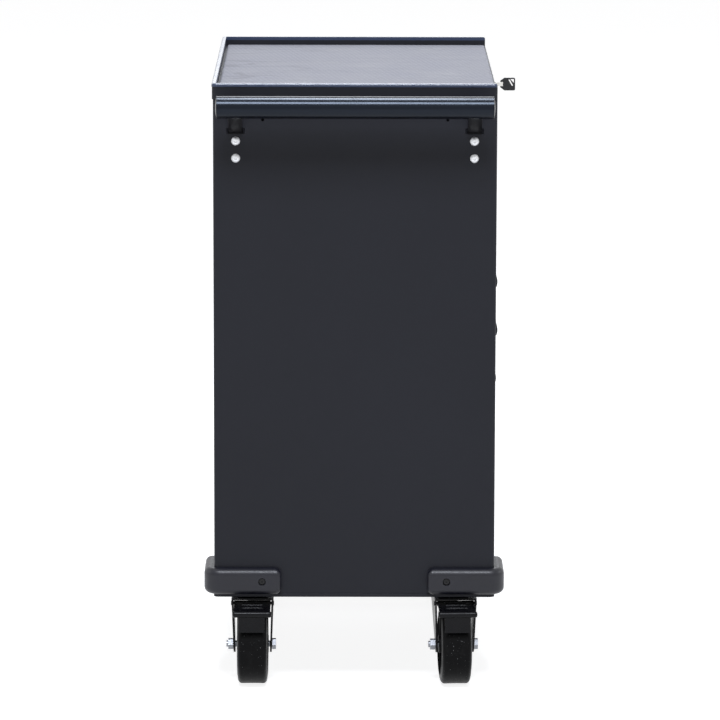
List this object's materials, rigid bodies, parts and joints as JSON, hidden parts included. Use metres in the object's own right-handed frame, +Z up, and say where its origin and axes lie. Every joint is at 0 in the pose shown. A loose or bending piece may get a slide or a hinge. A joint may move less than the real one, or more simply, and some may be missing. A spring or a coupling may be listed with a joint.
{
  "type": "rolling tool cabinet",
  "caption": "Steel roller cabinet with drawers on ball slides under one key lock, a rimmed top with a mat, a side push handle, corner bumpers and braked swivel casters.",
  "frame": {"origin": "bottom centre of the overall box, on the floor under the cabinet", "axes": "+Z up, -Y towards the person who opens the drawers, the push handle on the -X side"},
  "size_m": [0.7735, 0.5016, 0.9703],
  "materials": {
    "body_paint": "fine textured powder coat",
    "drawer_paint": "fine textured powder coat",
    "pull_finish": "black anodised",
    "slide_zinc": "bright zinc plated",
    "mat_foam": "dark grey, fine diagonal texture",
    "bumper_plastic": "fine grained",
    "handle_gloss": "gloss black",
    "cap_plastic": "moulded",
    "bright_zinc": "zinc plated",
    "black_screws": "black oxide",
    "lock_chrome": "polished",
    "key_steel": "nickel plated",
    "key_plastic": "moulded",
    "caster_black": "satin black",
    "wheel_plastic": "moulded",
    "tyre_rubber": "smooth tread"
  },
  "bodies": {
    "cabinet": {"left_side_panel": "body_paint", "right_side_panel": "body_paint", "back_panel": "body_paint", "base_pan": "body_paint", "front_rails": "body_paint", "slide_uprights": "body_paint", "slide_channels": "slide_zinc", "top_tray": "body_paint", "top_mat": "mat_foam", "corner_bumpers": "bumper_plastic", "bumper_screws": "black_screws", "handle_tube": "handle_gloss", "handle_end_caps": "cap_plastic", "handle_brackets": "caster_black", "handle_bolts": "bright_zinc", "lock_cylinder": "lock_chrome", "lock_bar_studs": "bright_zinc", "swivel_plates": "caster_black", "fixed_caster_frames": "caster_black", "fixed_caster_axles": "bright_zinc", "caster_bolts": "bright_zinc"},
    "drawer_1": {"drawer_1": "drawer_paint", "drawer_pull_1": "pull_finish"},
    "slide_middles_1": {"slide_middles_1": "slide_zinc"},
    "drawer_2": {"drawer_2": "drawer_paint", "drawer_pull_2": "pull_finish"},
    "slide_middles_2": {"slide_middles_2": "slide_zinc"},
    "drawer_3": {"drawer_3": "drawer_paint", "drawer_pull_3": "pull_finish"},
    "slide_middles_3": {"slide_middles_3": "slide_zinc"},
    "drawer_4": {"drawer_4": "drawer_paint", "drawer_pull_4": "pull_finish"},
    "slide_middles_4": {"slide_middles_4": "slide_zinc"},
    "drawer_5": {"drawer_5": "drawer_paint", "drawer_pull_5": "pull_finish"},
    "slide_middles_5": {"slide_middles_5": "slide_zinc"},
    "drawer_6": {"drawer_6": "drawer_paint", "drawer_pull_6": "pull_finish"},
    "slide_middles_6": {"slide_middles_6": "slide_zinc"},
    "drawer_7": {"drawer_7": "drawer_paint", "drawer_pull_7": "pull_finish"},
    "slide_middles_7": {"slide_middles_7": "slide_zinc"},
    "lock_core": {"lock_plug": "lock_chrome", "key_blade": "key_steel", "key_head": "key_plastic"},
    "lock_bar": {"lock_bar": "slide_zinc"},
    "wheel_front_left": {"wheel_front_left": "wheel_plastic", "tyre_front_left": "tyre_rubber"},
    "caster_front_left": {"fork_front_left": "caster_black", "fork_pins_front_left": "bright_zinc"},
    "brake_pedal_front_left": {"brake_pedal_front_left": "caster_black"},
    "wheel_rear_left": {"wheel_rear_left": "wheel_plastic", "tyre_rear_left": "tyre_rubber"},
    "caster_rear_left": {"fork_rear_left": "caster_black", "fork_pins_rear_left": "bright_zinc"},
    "brake_pedal_rear_left": {"brake_pedal_rear_left": "caster_black"},
    "wheel_front_right": {"wheel_front_right": "wheel_plastic", "tyre_front_right": "tyre_rubber"},
    "wheel_rear_right": {"wheel_rear_right": "wheel_plastic", "tyre_rear_right": "tyre_rubber"}
  },
  "joints": [
    {"name": "drawer_1_slide", "type": "slide", "parent": "cabinet", "child": "drawer_1", "axis": [0, -1, 0], "range_m": [0, 0.38]},
    {"name": "slide_1_travel", "type": "slide", "parent": "cabinet", "child": "slide_middles_1", "axis": [0, -1, 0], "range_m": [0, 0.19]},
    {"name": "drawer_2_slide", "type": "slide", "parent": "cabinet", "child": "drawer_2", "axis": [0, -1, 0], "range_m": [0, 0.38]},
    {"name": "slide_2_travel", "type": "slide", "parent": "cabinet", "child": "slide_middles_2", "axis": [0, -1, 0], "range_m": [0, 0.19]},
    {"name": "drawer_3_slide", "type": "slide", "parent": "cabinet", "child": "drawer_3", "axis": [0, -1, 0], "range_m": [0, 0.38]},
    {"name": "slide_3_travel", "type": "slide", "parent": "cabinet", "child": "slide_middles_3", "axis": [0, -1, 0], "range_m": [0, 0.19]},
    {"name": "drawer_4_slide", "type": "slide", "parent": "cabinet", "child": "drawer_4", "axis": [0, -1, 0], "range_m": [-0.0021, 0.3779]},
    {"name": "slide_4_travel", "type": "slide", "parent": "cabinet", "child": "slide_middles_4", "axis": [0, -1, 0], "range_m": [-0.00105, 0.18895]},
    {"name": "drawer_5_slide", "type": "slide", "parent": "cabinet", "child": "drawer_5", "axis": [0, -1, 0], "range_m": [-0.0026, 0.3774]},
    {"name": "slide_5_travel", "type": "slide", "parent": "cabinet", "child": "slide_middles_5", "axis": [0, -1, 0], "range_m": [-0.0013, 0.1887]},
    {"name": "drawer_6_slide", "type": "slide", "parent": "cabinet", "child": "drawer_6", "axis": [0, -1, 0], "range_m": [-0.0009, 0.3791]},
    {"name": "slide_6_travel", "type": "slide", "parent": "cabinet", "child": "slide_middles_6", "axis": [0, -1, 0], "range_m": [-0.00045, 0.18955]},
    {"name": "drawer_7_slide", "type": "slide", "parent": "cabinet", "child": "drawer_7", "axis": [0, -1, 0], "range_m": [0, 0.38]},
    {"name": "slide_7_travel", "type": "slide", "parent": "cabinet", "child": "slide_middles_7", "axis": [0, -1, 0], "range_m": [0, 0.19]},
    {"name": "key_turn", "type": "hinge", "parent": "cabinet", "child": "lock_core", "pos_m": [0.03075, -0.2112, 0.9298], "axis": [0, 1, 0], "range_deg": [0, 90]},
    {"name": "lock_bar_lift", "type": "slide", "parent": "cabinet", "child": "lock_bar", "axis": [0, 0, 1], "range_m": [0, 0.007]},
    {"name": "front_left_swivel", "type": "hinge", "parent": "cabinet", "child": "caster_front_left", "pos_m": [-0.24125, -0.1474, 0.1513], "axis": [0, 0, 1], "continuous": true},
    {"name": "front_left_brake", "type": "hinge", "parent": "caster_front_left", "child": "brake_pedal_front_left", "pos_m": [-0.29118, -0.15002, 0.133], "axis": [0.0523, -0.9986, 0], "range_deg": [0, 7.5]},
    {"name": "front_left_wheel", "type": "hinge", "parent": "caster_front_left", "child": "wheel_front_left", "pos_m": [-0.2792, -0.14939, 0.0635], "axis": [0.0523, -0.9986, 0], "continuous": true},
    {"name": "rear_left_swivel", "type": "hinge", "parent": "cabinet", "child": "caster_rear_left", "pos_m": [-0.24125, 0.1742, 0.1513], "axis": [0, 0, 1], "continuous": true},
    {"name": "rear_left_brake", "type": "hinge", "parent": "caster_rear_left", "child": "brake_pedal_rear_left", "pos_m": [-0.29125, 0.1742, 0.133], "axis": [0, -1, 0], "range_deg": [0, 7.5]},
    {"name": "rear_left_wheel", "type": "hinge", "parent": "caster_rear_left", "child": "wheel_rear_left", "pos_m": [-0.27925, 0.1742, 0.0635], "axis": [0, -1, 0], "continuous": true},
    {"name": "front_right_wheel", "type": "hinge", "parent": "cabinet", "child": "wheel_front_right", "pos_m": [0.30275, -0.1474, 0.0635], "axis": [0, 1, 0], "continuous": true},
    {"name": "rear_right_wheel", "type": "hinge", "parent": "cabinet", "child": "wheel_rear_right", "pos_m": [0.30275, 0.1742, 0.0635], "axis": [0, 1, 0], "continuous": true}
  ],
  "couplings": [
    {"joint": "slide_1_travel", "follows": "drawer_1_slide", "ratio": 0.5},
    {"joint": "slide_2_travel", "follows": "drawer_2_slide", "ratio": 0.5},
    {"joint": "slide_3_travel", "follows": "drawer_3_slide", "ratio": 0.5},
    {"joint": "slide_4_travel", "follows": "drawer_4_slide", "ratio": 0.5},
    {"joint": "slide_5_travel", "follows": "drawer_5_slide", "ratio": 0.5},
    {"joint": "slide_6_travel", "follows": "drawer_6_slide", "ratio": 0.5},
    {"joint": "slide_7_travel", "follows": "drawer_7_slide", "ratio": 0.5},
    {"joint": "key_turn", "follows": "lock_bar_lift", "rad_per_m": 224.4}
  ]
}
